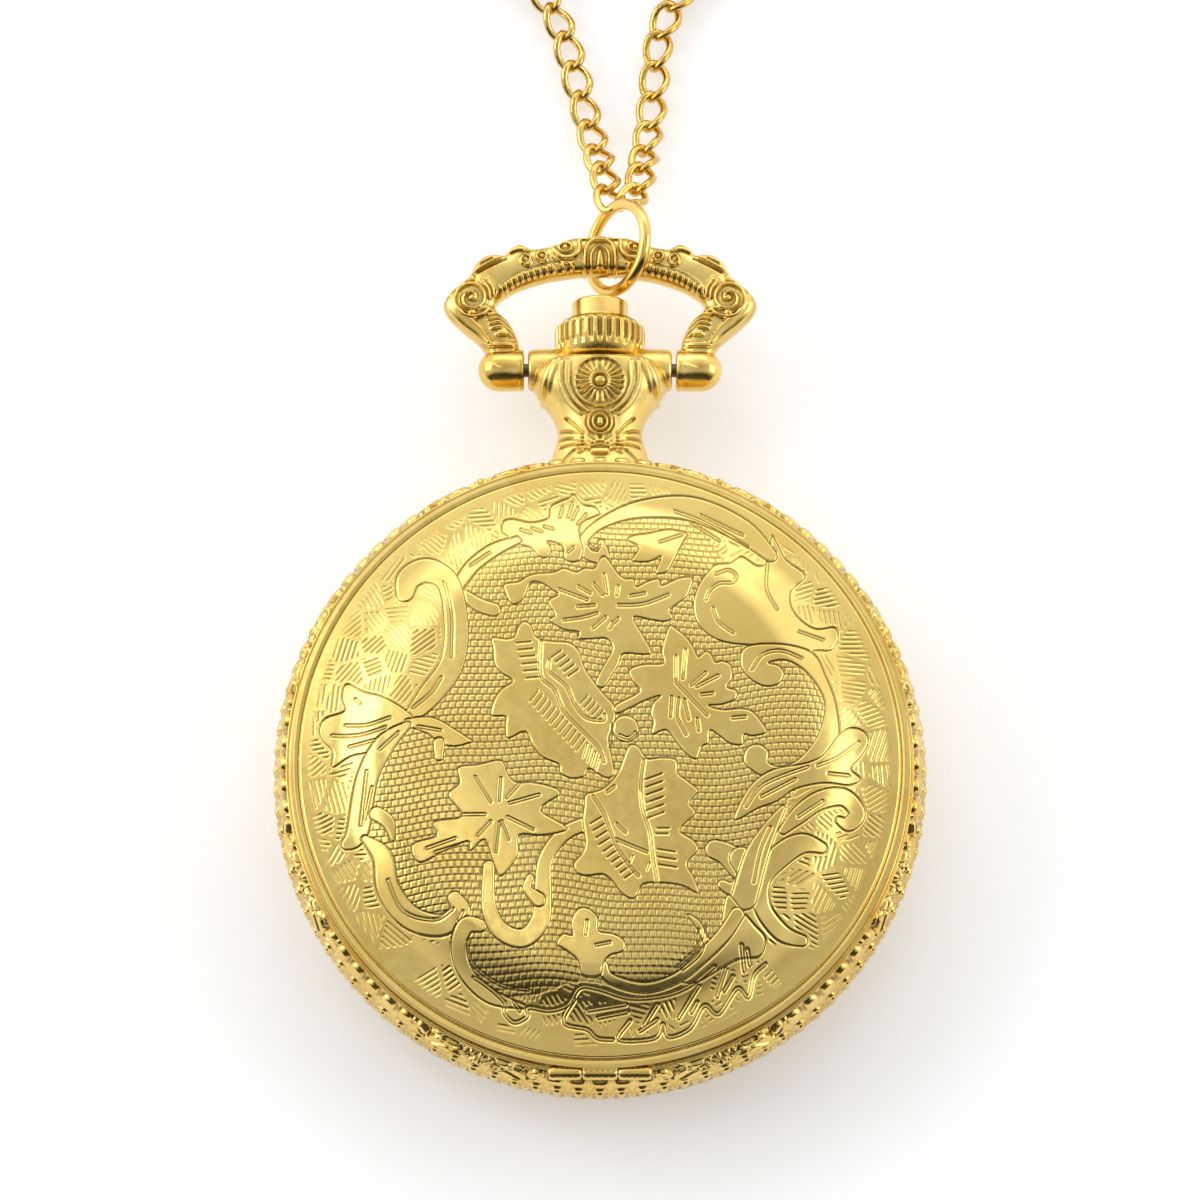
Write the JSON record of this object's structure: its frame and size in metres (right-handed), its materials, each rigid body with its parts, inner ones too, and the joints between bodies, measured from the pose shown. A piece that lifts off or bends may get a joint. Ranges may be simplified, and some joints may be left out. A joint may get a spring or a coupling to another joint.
{
  "type": "pocket watch",
  "caption": "Full-hunter quartz pocket watch lying on its back: engraved gold case, hinged front cover, crown, scrolled bow, jump ring and long curb chain.",
  "frame": {"origin": "centre of the flat on the back cover, on the surface that the watch lies on", "axes": "+Z out of the front cover, +Y from the dial's centre towards the crown at 12 o'clock, +X towards 3 o'clock"},
  "size_m": [0.047, 0.1307, 0.0134],
  "materials": {
    "gold_cover": "engraved, polished gold plate",
    "gold_rim": "cast relief, polished gold plate",
    "gold_pendant": "satin gold plate with relief",
    "gold_bow": "cast relief, gold plate",
    "gold_crown": "fluted, polished gold plate",
    "gold_polished": "mirror-polished gold plate",
    "gold_chain": "polished gold plate",
    "gold_markers": "polished",
    "brass_inner": "machined",
    "steel_inner": "machined",
    "steel_plate": "grained",
    "crystal": "polished",
    "dial": "satin lacquer",
    "holder_plastic": "moulded",
    "circuit": "solder mask",
    "copper": "enamelled wire",
    "gasket": "matt",
    "hands": "gloss lacquer"
  },
  "bodies": {
    "case": {"case_band": "gold_rim", "pendant": "gold_pendant", "pendant_tube": "brass_inner", "back_cover": "gold_cover", "back_gasket": "gasket", "bezel": "gold_polished", "crystal": "crystal", "dial": "dial", "dial_markers": "gold_markers", "movement_holder": "holder_plastic", "main_plate": "steel_plate", "train_bridge": "steel_plate", "circuit_board": "circuit", "coil_winding": "copper", "stator": "steel_inner", "battery": "steel_inner", "battery_strap": "steel_inner", "movement_screws": "steel_inner", "hinge_pin": "steel_inner", "lid_spring": "steel_inner", "bow_pins": "steel_inner", "chain_left": "gold_chain", "chain_right": "gold_chain", "chain_coil": "gold_chain"},
    "front_cover": {"front_cover": "gold_cover"},
    "lid_catch": {"lid_catch": "steel_inner"},
    "push_sleeve": {"push_sleeve": "brass_inner"},
    "stem_collet": {"stem_collet": "steel_inner"},
    "crown": {"crown": "gold_crown", "stem": "steel_inner"},
    "bow": {"bow": "gold_bow"},
    "jump_ring": {"jump_ring": "gold_chain"},
    "hour": {"hour_wheel": "brass_inner", "hour_hand": "hands"},
    "minute": {"centre_wheel": "brass_inner", "minute_hand": "hands"},
    "second": {"second_wheel": "brass_inner", "second_hand": "hands"},
    "rotor": {"rotor": "steel_inner"},
    "fifth_wheel": {"fifth_wheel": "brass_inner"},
    "third_wheel": {"third_wheel": "brass_inner"},
    "minute_wheel": {"minute_wheel": "brass_inner"}
  },
  "joints": [
    {"name": "cover_hinge", "type": "hinge", "parent": "case", "child": "front_cover", "pos_m": [0, -0.0223, 0.0103], "axis": [1, 0, 0], "range_deg": [0, 115]},
    {"name": "bow_swing", "type": "hinge", "parent": "case", "child": "bow", "pos_m": [0, 0.0307, 0.0067], "axis": [1, 0, 0], "range_deg": [-90, 90]},
    {"name": "ring_swing", "type": "hinge", "parent": "bow", "child": "jump_ring", "pos_m": [0.0013, 0.03905, 0.0067], "axis": [1, 0, 0], "range_deg": [-25, 25]},
    {"name": "crown_press", "type": "slide", "parent": "case", "child": "push_sleeve", "axis": [0, -1, 0], "range_m": [0, 0.0005], "stiffness_N_per_m": 3000},
    {"name": "catch_release", "type": "slide", "parent": "case", "child": "lid_catch", "axis": [0, -1, 0], "range_m": [0, 0.0005]},
    {"name": "crown_pull", "type": "slide", "parent": "push_sleeve", "child": "stem_collet", "axis": [0, 1, 0], "range_m": [0, 0.0005]},
    {"name": "crown_turn", "type": "hinge", "parent": "stem_collet", "child": "crown", "pos_m": [0, 0.034, 0.0067], "axis": [0, 1, 0], "continuous": true},
    {"name": "second_turn", "type": "hinge", "parent": "case", "child": "second", "pos_m": [0, 0, 0.005], "axis": [0, 0, 1], "continuous": true},
    {"name": "minute_turn", "type": "hinge", "parent": "case", "child": "minute", "pos_m": [0, 0, 0.005], "axis": [0, 0, 1], "continuous": true},
    {"name": "hour_turn", "type": "hinge", "parent": "case", "child": "hour", "pos_m": [0, 0, 0.005], "axis": [0, 0, 1], "continuous": true},
    {"name": "rotor_turn", "type": "hinge", "parent": "case", "child": "rotor", "pos_m": [0.00513, 0.00405, 0.005], "axis": [0, 0, 1], "continuous": true},
    {"name": "fifth_turn", "type": "hinge", "parent": "case", "child": "fifth_wheel", "pos_m": [0.00202, 0.00351, 0.005], "axis": [0, 0, 1], "continuous": true},
    {"name": "third_turn", "type": "hinge", "parent": "case", "child": "third_wheel", "pos_m": [-0.00408, 0, 0.005], "axis": [0, 0, 1], "continuous": true},
    {"name": "minute_wheel_turn", "type": "hinge", "parent": "case", "child": "minute_wheel", "pos_m": [0.0018, -0.00312, 0.0065], "axis": [0, 0, 1], "continuous": true}
  ],
  "couplings": [
    {"joint": "rotor_turn", "follows": "second_turn", "ratio": 30},
    {"joint": "fifth_turn", "follows": "second_turn", "ratio": -5},
    {"joint": "third_turn", "follows": "second_turn", "ratio": -0.13333},
    {"joint": "minute_turn", "follows": "second_turn", "ratio": 0.016667},
    {"joint": "minute_wheel_turn", "follows": "second_turn", "ratio": -0.0055556},
    {"joint": "hour_turn", "follows": "second_turn", "ratio": 0.0013889},
    {"joint": "catch_release", "follows": "crown_press", "ratio": 1}
  ]
}
